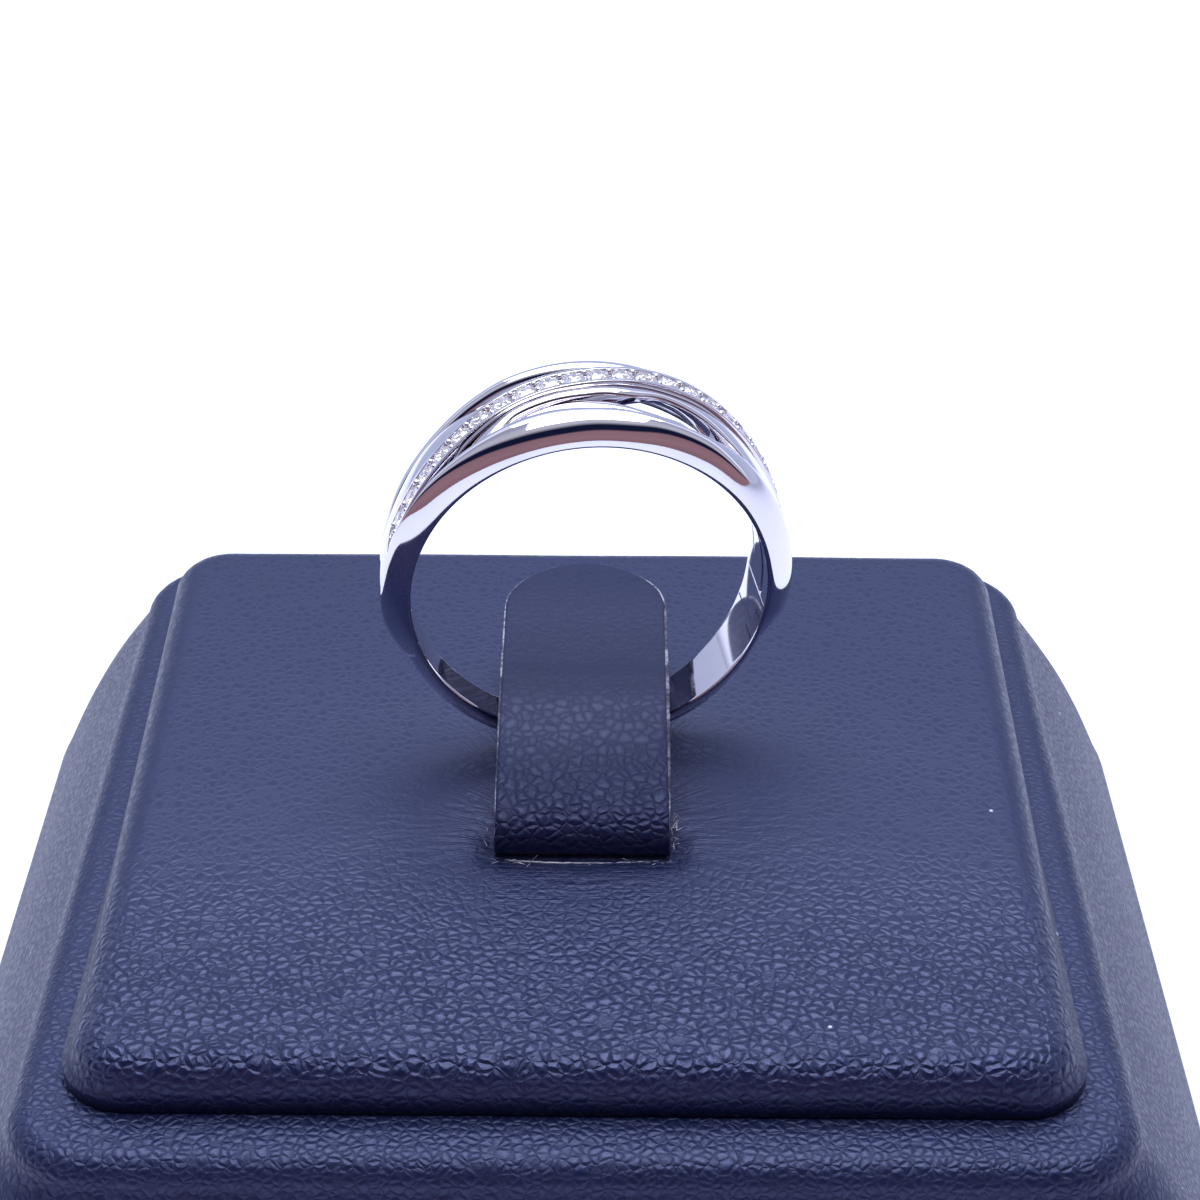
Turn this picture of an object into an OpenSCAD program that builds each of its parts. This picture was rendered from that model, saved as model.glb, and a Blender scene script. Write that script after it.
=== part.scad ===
// Crossover ring with one diamond-set strand, held upright by the clip of a display stand.
// +Z is up, the front of the stand faces -Y, and the origin lies under the middle of the base.
// Angles round the ring are measured from its top and are positive towards +X.

/* [Band] */
// Inside diameter of the ring
finger_d = 17; // [15:0.1:20]
// Thickness of the band over its crown, at the top of the ring
top_t = 1.5; // [1.3:0.05:1.9]
// Thickness of the band over its crown, at the shoulders
side_t = 1.4; // [1.3:0.05:1.9]
// Thickness of the shank at the bottom of the ring
shank_t = 1.05; // [0.9:0.05:1.3]
// Width of the ring from front to back where it is widest
wide_w = 6.2; // [5.6:0.1:7.4]
// Width of the shank from front to back where it is narrowest
shank_w = 2.05; // [1.8:0.05:2.8]
// Angle from the top of the ring to where it is widest
widest_a = 22; // [0:1:30]
// Height of the rounded crown of the two rails and the shank
crown_h = 1.05; // [0.8:0.05:1.2]
// Height of the softer crown of the strands that pass underneath
under_crown_h = 0.45; // [0.3:0.05:0.6]
// Height of the flatter crown of the plain strand that runs beside the diamonds
low_crown_h = 0.25; // [0.15:0.05:0.35]

/* [Strands] */
// Width of the diamond-set strand
pave_w = 1.5; // [1.4:0.05:1.7]
// How far the diamond-set strand stands above the band
pave_rise = 0.12; // [0.08:0.01:0.3]
// How far the strand that passes underneath lies below the crown
under_drop = 0.35; // [0.2:0.05:0.5]
// How far the inside of the crossing strands is lifted off the finger
bridge_lift = 0.9; // [0.6:0.05:0.95]

/* [Diamonds] */
// Metal left between two neighbouring diamonds
stone_gap = 0.16; // [0.1:0.02:0.3]
// Depth of the girdle of each diamond below the rims of the strand
girdle_drop = 0.12; // [0.1:0.01:0.2]
// Clearance between a diamond and its seat
seat_clear = 0.03; // [0.02:0.01:0.05]

/* [Pose] */
// How far the ring is turned on the stand, seen from above
ring_turn = 8; // [-12:1:12]
// Distance of the ring to the right of the middle of the stand
ring_x = 0.2; // [-2:0.1:2]
// Distance of the ring behind the middle of the stand
ring_y = 3.3; // [1:0.1:6]
// Clearance between two pieces that touch
touch_clear = 0.04; // [0.03:0.01:0.1]

/* [Base] */
// Height of the stand from the table to the top of its cushion
stand_h = 14; // [11:0.5:20]
// Width of the base on the table
base_w = 60.6; // [59:0.2:70]
// Depth of the base on the table
base_d = 61; // [59:0.2:70]
// How far each side of the base flares outward towards the table
base_flare = 5.9; // [3:0.1:7]
// Radius of the upright corners of the base at its top
base_r = 4; // [2.5:0.5:6]
// Radius of the upright corners of the base on the table
foot_r = 7; // [4:0.5:9]
// Radius of the soft edge round the top of the base
base_edge = 1.4; // [0.6:0.1:2]

/* [Cushion] */
// Width of the cushion
cushion_w = 44.5; // [38:0.1:46]
// Depth of the cushion
cushion_d = 43.8; // [38:0.1:45]
// Height of the cushion above the base
cushion_t = 2.5; // [2.2:0.1:4]
// Distance of the cushion behind the middle of the base
cushion_back = 0.5; // [-0.5:0.1:1]
// Radius of the upright corners of the cushion
cushion_r = 3; // [2.5:0.1:5]
// Radius of the soft edge round the top of the cushion
cushion_edge = 1.7; // [1:0.1:1.8]

/* [Clip] */
// Width of the leather clip that holds the ring down
clip_w = 8.3; // [6:0.1:9]
// Thickness of the clip
clip_t = 1.35; // [1:0.05:1.5]
// Distance from the front of the clip to the middle of the ring
clip_lead = 9.8; // [8:0.1:11]
// Distance from the middle of the ring to the rounded end of the clip
clip_reach = 10.3; // [8:0.1:12]

/* [Hidden] */
bore_r = finger_d / 2;
ring_z = stand_h + touch_clear + bore_r + shank_t;
half_mean = (wide_w + shank_w) / 4;
half_swing = (wide_w - shank_w) / 4;
// Angle between two sections of a strand, and the angles where the strands start to join
// and have become one shank.
step_a = 4;
split_a = 97;
merge_a = 112;
// Share of the width of the shank that each strand has where it ends inside the shank.
end_share = 0.96;

// Half the width of the ring at angle a.
function half_w(a) = half_mean + half_swing * cos(a - widest_a);

// Smooth step from 0 to 1 as x goes from one bound to the other.
function ease(x, from, to) = let (u = max(0, min(1, (x - from) / (to - from)))) u * u * (3 - 2 * u);

// Radius of the crown at angle a, from -180 to 180.
function crown_r(a) = bore_r + side_t + (top_t - side_t) * (1 - ease(abs(a), 0, split_a))
    + (shank_t - side_t) * ease(abs(a), split_a, 180);

// Smooth curve through column c of a table whose first column rises.
function row_at(t, rows, i = 0) = i >= len(rows) - 2 || t < rows[i + 1][0] ? i : row_at(t, rows, i + 1);
function slope(rows, i, c) = let (p = rows[max(0, i - 1)], q = rows[min(len(rows) - 1, i + 1)])
    (q[c] - p[c]) / (q[0] - p[0]);
function curve(t, rows, c) =
    let (i = row_at(t, rows), p = rows[i], q = rows[i + 1], h = q[0] - p[0], u = (t - p[0]) / h)
    (1 + 2 * u) * pow(1 - u, 2) * p[c] + u * u * (3 - 2 * u) * q[c]
    + h * u * pow(1 - u, 2) * slope(rows, i, c) + h * u * u * (u - 1) * slope(rows, i + 1, c);

function first_a(rows) = rows[0][0];
function last_a(rows) = rows[len(rows) - 1][0];

// Even angles from one bound to the other, about step_a apart. No two strands share their bounds,
// so no two have a section at the same angle where they cross.
function angles(from, to) = let (n = round((to - from) / step_a))
    [for (k = [0:n]) from + (to - from) * k / n];

// Radius of the inside of a strand for a share of bridge_lift.
function inner_r(lift) = bore_r - bore_skin + (bridge_lift + bore_skin) * lift;

// A point of the ring at angle a, at distance y along the finger and radius r.
function spot(a, y, r) = [r * sin(a), y, r * cos(a)];

// Section of a polished strand between y0 and y1, flat inside with a domed crown. Rows of [y, r].
// The inside stands a little proud of the finger hole, which is bored after the strands are joined.
// The dome takes at most dome_share of the thickness.
bore_skin = 0.04;
inner_ease = 0.14;
dome_steps = 6;
dome_share = 0.75;
function plain_section(y0, y1, r0, r1, crown = crown_h) =
    let (m = (y0 + y1) / 2, w = (y1 - y0) / 2)
    let (h = min(crown, dome_share * (r1 - r0)), e = min(inner_ease, w / 2))
    concat(
        [[y0, r0 + e], [y0 + e, r0], [y1 - e, r0], [y1, r0 + e]],
        [for (k = [0:dome_steps]) let (t = 180 * k / dome_steps) [m + w * cos(t), r1 - h + h * sin(t)]]
    );

// Section of the diamond-set strand about y, with a channel for the diamonds between two rims.
rim_round = 0.06;
channel_t = girdle_drop + 0.06;
function set_section(y, w, r0, r1) =
    let (h = w / 2, e = min(inner_ease, h / 2), n = min(rim_w, h / 2), b = min(rim_round, n / 3))
    concat(
        [[y - h, r0 + e], [y - h + e, r0], [y + h - e, r0], [y + h, r0 + e]],
        [[y + h, r1 - b], [y + h - b, r1], [y + h - n + b, r1], [y + h - n, r1 - b]],
        [[y + h - n, r1 - channel_t], [y - h + n, r1 - channel_t]],
        [[y - h + n, r1 - b], [y - h + n - b, r1], [y - h + b, r1], [y - h, r1 - b]]
    );

// Solid swept round the ring through one section at each angle.
module sweep(at, sections) {
    n = len(sections[0]);
    last = len(at) - 1;
    points = [for (i = [0:last]) for (p = sections[i]) spot(at[i], p[0], p[1])];
    walls = [
        for (i = [0:last - 1]) for (j = [0:n - 1])
        let (a = i * n + j, b = i * n + (j + 1) % n)
        for (f = [[a, a + n, b], [b, a + n, b + n]]) f
    ];
    ends = [[for (j = [0:n - 1]) j], [for (j = [n - 1:-1:0]) last * n + j]];
    polyhedron(points, concat(walls, ends), convexity = 10);
}

// A polished strand from its table of edges.
module strand(rows, crown = crown_h) {
    at = angles(first_a(rows), last_a(rows));
    sweep(at, [for (a = at) plain_section(
        half_w(a) * curve(a, rows, 1), half_w(a) * curve(a, rows, 2),
        inner_r(curve(a, rows, 4)), crown_r(a) - under_drop * curve(a, rows, 3), crown
    )]);
}

// Edges of the strands as shares of half_w: -1 is the front edge of the ring and 1 the back.
// Drop is a share of under_drop, lift a share of bridge_lift. Rows of [angle, front, back, drop, lift].
front_rail = [
    [-merge_a, -end_share, -0.1, 0.6, 0],
    [-100, -1, -0.25, 0, 0],
    [-88, -1, -0.55, 0, 0],
    [-75, -1, -0.76, 0, 0],
    [-60, -1, -0.80, 0, 0],
    [-50, -1, -0.71, 0, 0],
    [-40, -1, -0.65, 0, 0],
    [-30, -1, -0.55, 0, 0],
    [-20, -1, -0.43, 0, 0],
    [-10, -1, -0.41, 0, 0],
    [0, -1, -0.49, 0, 0],
    [10, -1, -0.53, 0, 0],
    [20, -1, -0.68, 0, 0],
    [34, -1, -0.69, 0, 0],
    [46, -1, -0.56, 0, 0],
    [75, -1, -0.54, 0, 0],
    [100, -1, -0.45, 0, 0],
    [merge_a, -end_share, -0.2, 0.6, 0]
];
back_rail = [
    [2 - merge_a, 0.1, end_share, 0.6, 0],
    [-100, 0.25, 1, 0.1, 0],
    [-88, 0.45, 1, 0.3, 0],
    [-75, 0.55, 1, 0.4, 0],
    [-60, 0.62, 1, 0.4, 0],
    [-50, 0.64, 1, 0.4, 0],
    [-40, 0.64, 1, 0.2, 0],
    [-30, 0.67, 1, -0.1, 0],
    [-20, 0.68, 1, -0.4, 0],
    [0, 0.66, 1, -0.4, 0],
    [30, 0.64, 1, 0, 0],
    [60, 0.60, 1, 0, 0],
    [100, 0.35, 1, 0, 0],
    [merge_a - 2, 0.2, end_share, 0.6, 0]
];
plain_strand = [
    [-40, -0.92, -0.62, 1.4, 0],
    [-36, -0.88, -0.48, 0.7, 0.1],
    [-32, -0.80, -0.32, 0.4, 0.3],
    [-28, -0.66, -0.22, 0.2, 0.5],
    [-24, -0.46, -0.14, 0.1, 0.6],
    [-20, -0.30, -0.08, 0, 0.65],
    [-10, -0.16, 0.06, 0, 0.65],
    [0, -0.10, 0.15, 0, 0.65],
    [5, -0.06, 0.18, 0, 0.7],
    [10, -0.06, 0.20, 0, 0.8],
    [14, -0.02, 0.24, 0.1, 0.95],
    [18, 0.07, 0.28, 0.2, 1],
    [22, 0.13, 0.31, 0.3, 1],
    [27, 0.13, 0.34, 0.3, 1],
    [32, 0.08, 0.36, 0.2, 0.85],
    [37, 0, 0.38, 0.1, 0.6],
    [45, -0.20, 0.42, 0, 0.4],
    [52, -0.36, 0.44, 0, 0.2],
    [60, -0.42, 0.44, 0, 0],
    [80, -0.36, 0.45, 0, 0],
    [100, -0.45, 0.50, 0, 0],
    [merge_a - 3, -0.6, 0.6, 0.6, 0]
];
shoulder = [
    [1 - merge_a, -0.6, 0.6, 0.6, 0],
    [-100, -0.50, 0.52, 0, 0],
    [-75, -0.45, 0.68, 0.1, 0],
    [-60, -0.35, 0.78, 0.1, 0],
    [-50, -0.20, 0.84, 0, 0],
    [-40, -0.08, 0.80, 0, 0.2],
    [-32, 0.02, 0.72, 0.2, 0.4],
    [-24, 0.12, 0.62, 0.6, 0.6],
    [-12, 0.30, 0.60, 1, 0.6]
];
under_strand = [
    [-36, -0.16, 0.30, 1.2, 0.4],
    [-20, -0.34, 0.20, 1, 0.5],
    [-10, -0.36, 0.10, 1, 0.5],
    [0, -0.42, 0.02, 1, 0.5],
    [10, -0.52, -0.15, 0.9, 0.4],
    [14, -0.60, -0.26, 0.8, 0.35],
    [20, -0.74, -0.38, 0.6, 0.2],
    [27, -0.84, -0.48, 0.4, 0],
    [34, -0.95, -0.72, 0.3, 0]
];
// Middle of the diamond-set strand as a share of half_w, its width as a share of pave_w, its
// lift as a share of bridge_lift and its rise as a share of pave_rise.
// Rows of [angle, middle, width, lift, rise].
diamond_strand = [
    [-75.5, -0.50, 0.25, 0, -1],
    [-73, -0.49, 0.55, 0, -0.5],
    [-69, -0.475, 0.9, 0, 0],
    [-64, -0.45, 1, 0, 0],
    [-60, -0.41, 1, 0, 0],
    [-50, -0.275, 1, 0.1, 0.3],
    [-40, -0.12, 1, 0.4, 0.6],
    [-30, 0.06, 1, 0.65, 0.8],
    [-20, 0.215, 1, 0.65, 1],
    [-10, 0.325, 1, 0.65, 1],
    [0, 0.39, 1, 0.65, 1],
    [10, 0.485, 1, 0.65, 1],
    [20, 0.575, 1, 0.65, 1],
    [30, 0.645, 1, 0.5, 1],
    [40, 0.69, 1, 0.2, 1],
    [50, 0.71, 1, 0, 1],
    [60, 0.71, 1, 0, 1],
    [75, 0.70, 1, 0, 1],
    [88, 0.68, 1, 0, 0.8],
    [95, 0.65, 0.8, 0, 0],
    [99, 0.63, 0.4, 0, -1]
];

// Middle and crown radius of the diamond-set strand at angle a.
function set_y(a) = half_w(a) * curve(a, diamond_strand, 1);
function set_r(a) = crown_r(a) + pave_rise * curve(a, diamond_strand, 4);

module set_strand() {
    at = angles(first_a(diamond_strand), last_a(diamond_strand));
    sweep(at, [for (a = at) set_section(
        set_y(a), pave_w * curve(a, diamond_strand, 2),
        inner_r(curve(a, diamond_strand, 3)), set_r(a)
    )]);
}

// The solid part of the band, from split to split round the bottom. It starts inside the strands.
module shank() {
    at = angles(split_a, 360 - split_a);
    sweep(at, [
        for (t = at)
        let (
            a = t > 180 ? t - 360 : t,
            w = half_w(a) * (end_share + (1 - end_share) * ease(abs(a), split_a, merge_a)),
            drop = under_drop * (1 - ease(abs(a), split_a, split_a + 2 * step_a))
        )
        plain_section(-w, w, inner_r(0), crown_r(a) - drop)
    ]);
}

// The row of diamonds fills the middle of its strand at an even pitch.
row_from = -64;
row_to = 88;
stone_n = 23;
function row_point(a) = spot(a, set_y(a), set_r(a) - girdle_drop);
function row_length(a, to) = a >= to ? 0 : norm(row_point(a + 1) - row_point(a)) + row_length(a + 1, to);
row_pitch = row_length(row_from, row_to) / (stone_n - 1);
stone_d = row_pitch - stone_gap;
function walk(a, left) = let (d = norm(row_point(a + 1) - row_point(a)))
    left <= d ? a + left / d : walk(a + 1, left - d);
function stone_a(i) = walk(row_from, (i - 1) * row_pitch);

// The rims stand in over the girdles by seat_bite, where the seats are cut into them.
seat_bite = 0.04;
rim_w = (pave_w - stone_d) / 2 + seat_bite;

// Puts its child at diamond i, with the girdle in the XY plane and the table up.
module at_stone(i) {
    a = stone_a(i);
    translate(row_point(a)) rotate([0, a, 0]) children();
}

// Round cut: heights and diameters as shares of the diameter, measured from the girdle.
cut_sides = 8;
table_d = 0.56;
table_h = 0.16;
girdle_h = 0.03;
pavilion_h = 0.43;
function cut_ring(n, r, z, turn) =
    [for (k = [0:n - 1]) let (t = 360 * (k + turn) / n) [r * cos(t), r * sin(t), z]];
module round_cut(d) {
    n = cut_sides * 2;
    top = cut_sides;
    low = top + n;
    tip = low + n;
    points = concat(
        cut_ring(cut_sides, d * table_d / 2, d * table_h, 0.5),
        cut_ring(n, d / 2, d * girdle_h / 2, 0),
        cut_ring(n, d / 2, -d * girdle_h / 2, 0),
        [[0, 0, -d * pavilion_h]]
    );
    polyhedron(points, concat(
        [[for (k = [cut_sides - 1:-1:0]) k]],
        [for (k = [0:cut_sides - 1]) [k, top + 2 * k + 1, top + 2 * k]],
        [for (k = [0:cut_sides - 1]) [k, top + (2 * k + 2) % n, top + 2 * k + 1]],
        [for (k = [0:cut_sides - 1]) [k, (k + 1) % cut_sides, top + (2 * k + 2) % n]],
        [for (k = [0:n - 1]) [top + k, top + (k + 1) % n, low + (k + 1) % n, low + k]],
        [for (k = [0:n - 1]) [low + k, low + (k + 1) % n, tip]]
    ));
}

// Seat of a diamond: a cone under the pavilion and a straight bore above the girdle.
module seat() {
    r = stone_d / 2 + seat_clear;
    tip = stone_d * pavilion_h + 2 * seat_clear;
    hull() {
        translate([0, 0, -seat_clear]) cylinder(r = r, h = girdle_drop + pave_rise, $fn = 2 * cut_sides);
        translate([0, 0, -tip]) cylinder(r = seat_clear, h = seat_clear, $fn = cut_sides);
    }
}

module place_ring() {
    translate([ring_x, ring_y, ring_z]) rotate([0, 0, ring_turn]) children();
}

bore_fn = 120;
bore_turn = 0.5;
module ring_band() {
    color([0.86, 0.86, 0.9]) place_ring() difference() {
        union() {
            shank();
            strand(front_rail);
            strand(back_rail);
            strand(plain_strand, low_crown_h);
            strand(shoulder, under_crown_h);
            strand(under_strand, under_crown_h);
            set_strand();
        }
        rotate([90, bore_turn, 0]) cylinder(r = bore_r, h = 2 * wide_w, center = true, $fn = bore_fn);
        for (i = [1:stone_n]) at_stone(i) seat();
    }
}

module diamond(i) {
    color([0.95, 0.97, 1]) place_ring() at_stone(i) round_cut(stone_d);
}

// Four upright posts of radius r at the corners of a w by d slab.
corner_fn = 32;
module posts(w, d, r, h) {
    for (x = [-1, 1], y = [-1, 1])
        translate([x * (w / 2 - r), y * (d / 2 - r), 0]) cylinder(r = r, h = h, $fn = corner_fn);
}

// Posts under a soft edge of radius e, which draws the slab in as it rises to height h.
edge_steps = 4;
layer_t = 0.1;
module soft_posts(w, d, r, h, e) {
    for (k = [0:edge_steps]) {
        t = 90 * k / edge_steps;
        in = e * (1 - cos(t));
        translate([0, 0, h - e + e * sin(t) - layer_t]) posts(w - 2 * in, d - 2 * in, r - in, layer_t);
    }
}

base_h = stand_h - cushion_t;
hem = 0.4;
module stand_base() {
    color([0.16, 0.19, 0.33]) hull() {
        posts(base_w, base_d, foot_r, hem);
        soft_posts(base_w - 2 * base_flare, base_d - 2 * base_flare, base_r, base_h, base_edge);
    }
}

clip_front = ring_y - clip_lead;
module stand_cushion() {
    bottom = base_h + touch_clear;
    color([0.2, 0.24, 0.4]) difference() {
        translate([0, cushion_back, bottom]) hull() {
            posts(cushion_w, cushion_d, cushion_r, hem);
            soft_posts(cushion_w, cushion_d, cushion_r, stand_h - bottom, cushion_edge);
        }
        translate([ring_x - clip_w / 2 - touch_clear, clip_front - touch_clear, base_h])
            cube([clip_w + 2 * touch_clear, clip_t + 2 * touch_clear, 2 * cushion_t]);
    }
}

// The clip rests on the bore of the ring with the two edges of its underside.
edge_x = clip_w / 2 * cos(ring_turn) + shank_w / 2 * abs(sin(ring_turn));
clip_under = ring_z - sqrt(pow(bore_r, 2) - pow(edge_x, 2)) + touch_clear;
clip_rise = clip_under + clip_t / 2 - stand_h;
// Line through the middle of the clip, seen from the side. Rows of [station, along, up]:
// along is a share of clip_lead ahead of the ring and of clip_reach behind, up a share of clip_rise.
clip_line = [
    [0, -1, 0.02],
    [0.5, -0.992, 0.19],
    [1, -0.965, 0.32],
    [1.5, -0.92, 0.42],
    [2.2, -0.85, 0.50],
    [4, -0.68, 0.65],
    [6.4, -0.42, 0.82],
    [8.4, -0.2, 0.96],
    [10.2, 0, 1],
    [11.7, 0.15, 1],
    [14.2, 0.4, 1.04],
    [17.2, 0.7, 1.11],
    [20.2, 1, 1.13]
];
clip_steps = 60;
clip_du = 0.01;
function clip_mid(u) = let (s = curve(u, clip_line, 1), reach = s < 0 ? clip_lead - clip_t / 2 : clip_reach)
    [ring_y + s * reach, stand_h + clip_rise * curve(u, clip_line, 2)];
function clip_side(u, t) = let (v = clip_mid(u + clip_du) - clip_mid(u - clip_du))
    clip_mid(u) + t * [-v[1], v[0]] / norm(v);

module clip() {
    stations = [for (i = [0:clip_steps]) last_a(clip_line) * i / clip_steps];
    foot = base_h + touch_clear;
    outline = concat(
        [[clip_front + clip_t, foot], [clip_front, foot]],
        [for (u = stations) clip_side(u, clip_t / 2)],
        [for (i = [clip_steps:-1:0]) clip_side(stations[i], -clip_t / 2)]
    );
    color([0.15, 0.18, 0.3]) intersection() {
        translate([ring_x - clip_w, 0, 0]) rotate([90, 0, 90]) linear_extrude(2 * clip_w) polygon(outline);
        linear_extrude(2 * stand_h) {
            translate([ring_x - clip_w / 2, clip_front - clip_t])
                square([clip_w, clip_lead + clip_t + clip_reach - clip_w / 2]);
            translate([ring_x, ring_y + clip_reach - clip_w / 2]) circle(d = clip_w, $fn = 64);
        }
    }
}

function diamond_name(i) = str("diamond_", i < 10 ? "0" : "", i);

stand_base();
stand_cushion();
clip();
ring_band();
for (i = [1:stone_n]) diamond(i);
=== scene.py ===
import bpy
import math
import random
from mathutils import Matrix, Vector, noise


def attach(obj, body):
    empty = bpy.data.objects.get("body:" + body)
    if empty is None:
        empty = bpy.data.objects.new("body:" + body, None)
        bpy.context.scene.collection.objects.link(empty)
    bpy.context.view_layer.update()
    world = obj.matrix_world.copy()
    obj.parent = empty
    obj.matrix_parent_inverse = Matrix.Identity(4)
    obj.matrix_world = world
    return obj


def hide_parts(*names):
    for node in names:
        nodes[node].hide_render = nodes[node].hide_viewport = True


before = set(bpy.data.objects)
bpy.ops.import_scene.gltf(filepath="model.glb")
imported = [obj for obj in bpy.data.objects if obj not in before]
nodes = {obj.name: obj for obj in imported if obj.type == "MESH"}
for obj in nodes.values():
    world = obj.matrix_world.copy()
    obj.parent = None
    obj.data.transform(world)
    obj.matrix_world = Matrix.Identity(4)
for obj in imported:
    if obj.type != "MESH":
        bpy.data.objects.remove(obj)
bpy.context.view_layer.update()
random.seed(7)

# Crossover ring with one diamond-set strand on a leather display stand.
# Sizes are in millimetres, as in the solids, and become metres in the meshes.
MM = 0.001
FINGER_R = 8.5
TOP_T = 1.5
SIDE_T = 1.4
SHANK_T = 1.05
WIDE_W = 6.2
SHANK_W = 2.05
WIDEST_A = 22
CROWN_H = 1.25
SOFT_CROWN_H = 0.5
LOW_CROWN_H = 0.25
DOME_SHARE = 0.88
PAVE_W = 1.5
PAVE_RISE = 0.12
UNDER_DROP = 0.35
BRIDGE_LIFT = 0.9
STONE_N = 23
STONE_GAP = 0.16
GIRDLE_DROP = 0.12
RING_TURN = 8
RING_X = 0.2
RING_Y = 3.3
CLEAR = 0.04
STAND_H = 14
BASE_W = 60.6
BASE_D = 61
BASE_FLARE = 5.9
BASE_R = 4
FOOT_R = 10
BASE_EDGE = 1.4
CUSHION_W = 44.5
CUSHION_D = 43.8
CUSHION_T = 2.5
CUSHION_BACK = 0.5
CUSHION_R = 3
CUSHION_EDGE = 1.7
CLIP_W = 8.3
CLIP_T = 1.35
CLIP_LEAD = 9.8
CLIP_REACH = 10.3

BASE_H = STAND_H - CUSHION_T
RING_Z = STAND_H + CLEAR + FINGER_R + SHANK_T
HALF_MEAN = (WIDE_W + SHANK_W) / 4
HALF_SWING = (WIDE_W - SHANK_W) / 4
SPLIT_A = 97
MERGE_A = 112
END_SHARE = 0.96

# Roundings of the sections, and how finely they are stepped.
INNER_EASE = 0.12
EASE_STEPS = 5
DOME_STEPS = 26
BACK_TALL = 0.4
FLAT_POWER = 0.45
ARC_SHARE = 0.45
STRAIGHT = math.radians(176)

# Edges of the strands as shares of half the ring's width. Rows of (angle, front, back, drop, lift).
FRONT_RAIL = [
    (-112, -0.96, -0.1, 0.6, 0), (-100, -1, -0.25, 0, 0), (-88, -1, -0.55, 0, 0), (-75, -1, -0.76, 0, 0),
    (-60, -1, -0.80, 0, 0), (-50, -1, -0.71, 0, 0), (-40, -1, -0.65, 0, 0), (-30, -1, -0.55, 0, 0),
    (-20, -1, -0.43, 0, 0), (-10, -1, -0.41, 0, 0), (0, -1, -0.49, 0, 0), (10, -1, -0.53, 0, 0),
    (20, -1, -0.68, 0, 0), (34, -1, -0.69, 0, 0), (46, -1, -0.56, 0, 0), (75, -1, -0.54, 0, 0),
    (100, -1, -0.45, 0, 0), (112, -0.96, -0.2, 0.6, 0),
]
BACK_RAIL = [
    (-110, 0.1, 0.96, 0.6, 0), (-100, 0.25, 1, 0.1, 0), (-88, 0.45, 1, 0.3, 0), (-75, 0.55, 1, 0.4, 0),
    (-60, 0.62, 1, 0.4, 0), (-50, 0.64, 1, 0.4, 0), (-40, 0.64, 1, 0.2, 0), (-30, 0.67, 1, -0.1, 0),
    (-20, 0.68, 1, -0.4, 0), (0, 0.66, 1, -0.4, 0), (30, 0.64, 1, 0, 0), (60, 0.60, 1, 0, 0),
    (100, 0.35, 1, 0, 0), (110, 0.2, 0.96, 0.6, 0),
]
PLAIN_STRAND = [
    (-40, -0.92, -0.62, 1.4, 0), (-36, -0.88, -0.48, 0.7, 0.1), (-32, -0.80, -0.32, 0.4, 0.3),
    (-28, -0.66, -0.22, 0.2, 0.5), (-24, -0.46, -0.14, 0.1, 0.6), (-20, -0.30, -0.08, 0, 0.65),
    (-10, -0.16, 0.06, 0, 0.65), (0, -0.10, 0.15, 0, 0.65), (5, -0.06, 0.18, 0, 0.7),
    (10, -0.06, 0.20, 0, 0.8), (14, -0.02, 0.24, 0.1, 0.95), (18, 0.07, 0.28, 0.2, 1),
    (22, 0.13, 0.31, 0.3, 1), (27, 0.13, 0.34, 0.3, 1),
    (32, 0.08, 0.36, 0.2, 0.85), (37, 0, 0.38, 0.1, 0.6), (45, -0.20, 0.42, 0, 0.4),
    (52, -0.36, 0.44, 0, 0.2), (60, -0.42, 0.44, 0, 0), (80, -0.36, 0.45, 0, 0),
    (100, -0.45, 0.50, 0, 0), (109, -0.6, 0.6, 0.6, 0),
]
SHOULDER = [
    (-111, -0.6, 0.6, 0.6, 0), (-100, -0.50, 0.52, 0, 0), (-75, -0.45, 0.68, 0.1, 0),
    (-60, -0.35, 0.78, 0.1, 0), (-50, -0.20, 0.84, 0, 0), (-40, -0.08, 0.80, 0, 0.2),
    (-32, 0.02, 0.72, 0.2, 0.4), (-24, 0.12, 0.62, 0.6, 0.6), (-12, 0.30, 0.60, 1, 0.6),
]
UNDER_STRAND = [
    (-36, -0.16, 0.30, 1.2, 0.4), (-20, -0.34, 0.20, 1, 0.5), (-10, -0.36, 0.10, 1, 0.5),
    (0, -0.42, 0.02, 1, 0.5), (10, -0.52, -0.15, 0.9, 0.4), (14, -0.60, -0.26, 0.8, 0.35),
    (20, -0.74, -0.38, 0.6, 0.2), (27, -0.84, -0.48, 0.4, 0), (34, -0.90, -0.72, 1.6, 0),
]
# Rows of (angle, middle, width, lift, rise).
DIAMOND_STRAND = [
    (-75.5, -0.50, 0.25, 0, -1), (-73, -0.49, 0.55, 0, -0.5), (-69, -0.475, 0.9, 0, 0), (-64, -0.45, 1, 0, 0),
    (-60, -0.41, 1, 0, 0), (-50, -0.275, 1, 0.1, 0.3), (-40, -0.12, 1, 0.4, 0.6), (-30, 0.06, 1, 0.65, 0.8),
    (-20, 0.215, 1, 0.65, 1), (-10, 0.325, 1, 0.65, 1), (0, 0.39, 1, 0.65, 1), (10, 0.485, 1, 0.65, 1),
    (20, 0.575, 1, 0.65, 1), (30, 0.645, 1, 0.5, 1), (40, 0.69, 1, 0.2, 1), (50, 0.71, 1, 0, 1),
    (60, 0.71, 1, 0, 1), (75, 0.70, 1, 0, 1), (88, 0.68, 1, 0, 0.8), (95, 0.65, 0.8, 0, 0),
    (99, 0.63, 0.4, 0, -1),
]
ROW_FROM = -64
ROW_TO = 88


# shapes shared by the pieces
def ease(x, low, high):
    u = max(0.0, min(1.0, (x - low) / (high - low)))
    return u * u * (3 - 2 * u)


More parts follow.
